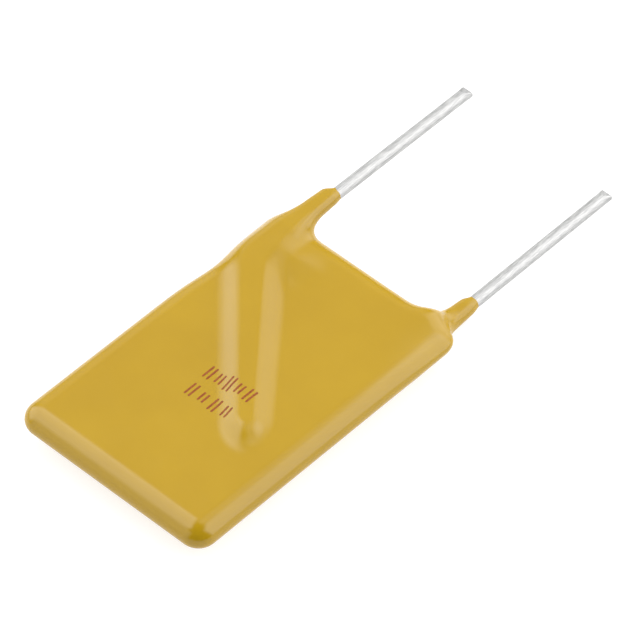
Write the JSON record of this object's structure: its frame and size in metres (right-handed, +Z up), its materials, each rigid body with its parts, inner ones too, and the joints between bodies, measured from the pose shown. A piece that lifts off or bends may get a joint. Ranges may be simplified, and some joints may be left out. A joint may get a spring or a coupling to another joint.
{
  "type": "resettable fuse",
  "caption": "Flat radial-leaded polymer resettable fuse: golden epoxy-dipped rectangular body with slanted wire ridges on its faces and tinned wire leads.",
  "frame": {"origin": "middle of the fuse's box, on the surface that it lies on", "axes": "+X across the body from the front lead to the back lead, +Y along the leads to their tips, +Z up out of the front face"},
  "size_m": [0.014, 0.0354, 0.003],
  "materials": {
    "epoxy_coat": "glossy golden-ochre dipped epoxy",
    "conductive_polymer": "dull black carbon-filled polymer",
    "electrode_foil": "matt nickel-faced foil",
    "tinned_wire": "bright drawn tin plating",
    "solder": "satin solder"
  },
  "bodies": {
    "root": {"coating": "epoxy_coat", "ptc_chip": "conductive_polymer", "front_foil": "electrode_foil", "back_foil": "electrode_foil", "front_lead": "tinned_wire", "back_lead": "tinned_wire", "front_solder": "solder", "back_solder": "solder"}
  },
  "joints": []
}
